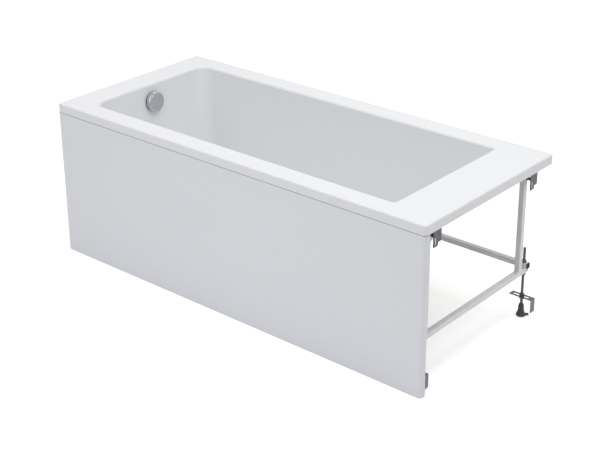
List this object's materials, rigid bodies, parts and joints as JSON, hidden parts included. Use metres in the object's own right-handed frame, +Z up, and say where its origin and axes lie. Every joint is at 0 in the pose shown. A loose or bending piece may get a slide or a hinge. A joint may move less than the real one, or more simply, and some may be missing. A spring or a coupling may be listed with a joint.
{
  "type": "alcove bathtub",
  "caption": "Rectangular white acrylic alcove bathtub with sloped basin, front panel, steel tube frame on threaded legs, and knob-operated pop-up waste.",
  "frame": {"origin": "on the floor under the centre of the rim", "axes": "+X along the tub from the overflow end to the backrest end, +Y from the panelled front to the wall side, +Z up"},
  "size_m": [1.7, 0.75, 0.61],
  "materials": {
    "white_acrylic": "high gloss",
    "chipboard": "resin coated",
    "timber": "planed",
    "grey_painted_steel": "satin",
    "black_plastic": "satin",
    "dark_zinc_steel": "dark passivated",
    "dark_grey_plastic": "matt",
    "bright_zinc_steel": "bright zinc",
    "polished_chrome": "satin chrome plate",
    "black_rubber": "matt",
    "white_plastic": "satin"
  },
  "bodies": {
    "tub": {"base_board": "chipboard", "board_screws": "bright_zinc_steel", "cross_rail_inner_left": "grey_painted_steel", "cross_rail_inner_right": "grey_painted_steel", "cross_rail_left": "grey_painted_steel", "cross_rail_right": "grey_painted_steel", "front_panel": "white_acrylic", "long_rail_back": "grey_painted_steel", "long_rail_front": "grey_painted_steel", "overflow_body": "dark_grey_plastic", "overflow_face_ring": "dark_grey_plastic", "overflow_gasket": "black_rubber", "overflow_hose": "white_plastic", "panel_clips": "bright_zinc_steel", "post_back_left": "grey_painted_steel", "post_back_right": "grey_painted_steel", "post_front_left": "grey_painted_steel", "post_front_right": "grey_painted_steel", "pull_cable": "black_plastic", "rail_end_caps": "black_plastic", "rail_nuts": "dark_zinc_steel", "rim_batten_back": "timber", "rim_batten_front": "timber", "rim_batten_left": "timber", "rim_batten_right": "timber", "rim_bracket_back_left": "dark_zinc_steel", "rim_bracket_back_right": "dark_zinc_steel", "rim_bracket_front_left": "dark_zinc_steel", "rim_bracket_front_right": "dark_zinc_steel", "rim_screws": "bright_zinc_steel", "trap_nut": "white_plastic", "trap_pipe": "white_plastic", "tub_shell": "white_acrylic", "waste_body": "dark_grey_plastic", "waste_flange": "polished_chrome", "waste_gasket": "black_rubber"},
    "leg_back_right": {"leg_rod_back_right": "dark_zinc_steel", "end_angle_back_right": "dark_zinc_steel", "angle_nuts_back_right": "dark_zinc_steel"},
    "foot_back_right": {"leg_foot_back_right": "dark_grey_plastic"},
    "leg_back_left": {"leg_rod_back_left": "dark_zinc_steel", "end_angle_back_left": "dark_zinc_steel", "angle_nuts_back_left": "dark_zinc_steel"},
    "foot_back_left": {"leg_foot_back_left": "dark_grey_plastic"},
    "leg_front_right": {"leg_rod_front_right": "dark_zinc_steel", "end_angle_front_right": "dark_zinc_steel", "angle_nuts_front_right": "dark_zinc_steel", "panel_angle_front_right": "dark_zinc_steel"},
    "foot_front_right": {"leg_foot_front_right": "dark_grey_plastic"},
    "leg_front_left": {"leg_rod_front_left": "dark_zinc_steel", "end_angle_front_left": "dark_zinc_steel", "angle_nuts_front_left": "dark_zinc_steel", "panel_angle_front_left": "dark_zinc_steel"},
    "foot_front_left": {"leg_foot_front_left": "dark_grey_plastic"},
    "knob": {"overflow_knob": "polished_chrome", "overflow_spindle": "dark_grey_plastic"},
    "plug": {"pop_up_plug": "polished_chrome", "plug_seal": "black_rubber"},
    "lever": {"lift_lever": "dark_grey_plastic"}
  },
  "joints": [
    {"name": "leg_height_back_right", "type": "slide", "parent": "tub", "child": "leg_back_right", "axis": [0, 0, -1], "range_m": [-0.04, 0.045]},
    {"name": "foot_turn_back_right", "type": "hinge", "parent": "leg_back_right", "child": "foot_back_right", "pos_m": [0.803, 0.3007, 0.03], "axis": [0, 0, 1], "range_deg": [-180, 180]},
    {"name": "leg_height_back_left", "type": "slide", "parent": "tub", "child": "leg_back_left", "axis": [0, 0, -1], "range_m": [-0.04, 0.045]},
    {"name": "foot_turn_back_left", "type": "hinge", "parent": "leg_back_left", "child": "foot_back_left", "pos_m": [-0.803, 0.3007, 0.03], "axis": [0, 0, 1], "range_deg": [-180, 180]},
    {"name": "leg_height_front_right", "type": "slide", "parent": "tub", "child": "leg_front_right", "axis": [0, 0, -1], "range_m": [-0.04, 0.045]},
    {"name": "foot_turn_front_right", "type": "hinge", "parent": "leg_front_right", "child": "foot_front_right", "pos_m": [0.803, -0.34, 0.03], "axis": [0, 0, 1], "range_deg": [0, 180]},
    {"name": "leg_height_front_left", "type": "slide", "parent": "tub", "child": "leg_front_left", "axis": [0, 0, -1], "range_m": [-0.04, 0.045]},
    {"name": "foot_turn_front_left", "type": "hinge", "parent": "leg_front_left", "child": "foot_front_left", "pos_m": [-0.803, -0.34, 0.03], "axis": [0, 0, 1], "range_deg": [-180, 0]},
    {"name": "knob_turn", "type": "hinge", "parent": "tub", "child": "knob", "pos_m": [-0.7262, 0, 0.541], "axis": [0.9903, 0, 0.1392], "range_deg": [0, 90]},
    {"name": "plug_lift", "type": "slide", "parent": "tub", "child": "plug", "axis": [0, 0, 1], "range_m": [0, 0.01]},
    {"name": "lever_rock", "type": "hinge", "parent": "tub", "child": "lever", "pos_m": [-0.577, 0, 0.16], "axis": [0, -1, 0], "range_deg": [0, 34.21]}
  ],
  "couplings": [
    {"joint": "plug_lift", "follows": "knob_turn", "m_per_rad": 0.0063662},
    {"joint": "lever_rock", "follows": "knob_turn", "ratio": 0.3801}
  ]
}
